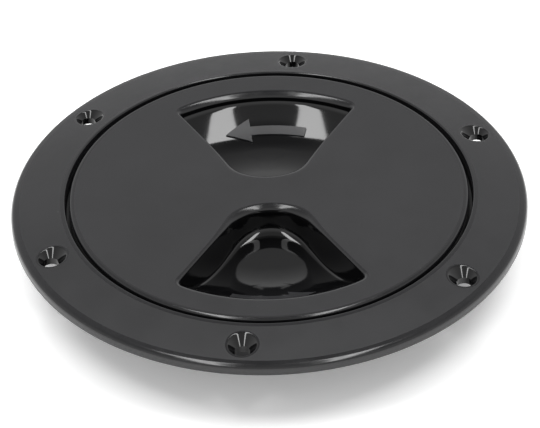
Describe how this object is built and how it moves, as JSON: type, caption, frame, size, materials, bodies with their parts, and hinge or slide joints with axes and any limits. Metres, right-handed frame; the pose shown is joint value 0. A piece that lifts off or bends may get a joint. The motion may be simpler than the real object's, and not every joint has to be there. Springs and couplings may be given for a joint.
{
  "type": "deck hatch",
  "caption": "Round screw-in deck hatch: a flanged mounting ring with countersunk screw holes, a screw-out lid with finger wells, and a seal ring.",
  "frame": {"origin": "on the hatch's axis, in the plane where the flange lies on the deck", "axes": "+Z out of the deck along the axis, Y through the middle of the two finger wells"},
  "size_m": [0.142, 0.142, 0.0168],
  "materials": {
    "ring_plastic": "satin black",
    "lid_plastic": "satin black, with polished wells",
    "seal_rubber": "matt black"
  },
  "bodies": {
    "ring": {"mounting_ring": "ring_plastic"},
    "seal": {"lid_seal": "seal_rubber"},
    "lid": {"lid": "lid_plastic"}
  },
  "joints": [
    {"name": "lid_lift", "type": "slide", "parent": "ring", "child": "seal", "axis": [0, 0, 1], "range_m": [0, 0.016]},
    {"name": "lid_turn", "type": "hinge", "parent": "seal", "child": "lid", "pos_m": [0, 0, 0], "axis": [0, 0, 1], "range_deg": [0, 1440]}
  ],
  "couplings": [
    {"joint": "lid_lift", "follows": "lid_turn", "m_per_rad": 0.00063662}
  ]
}
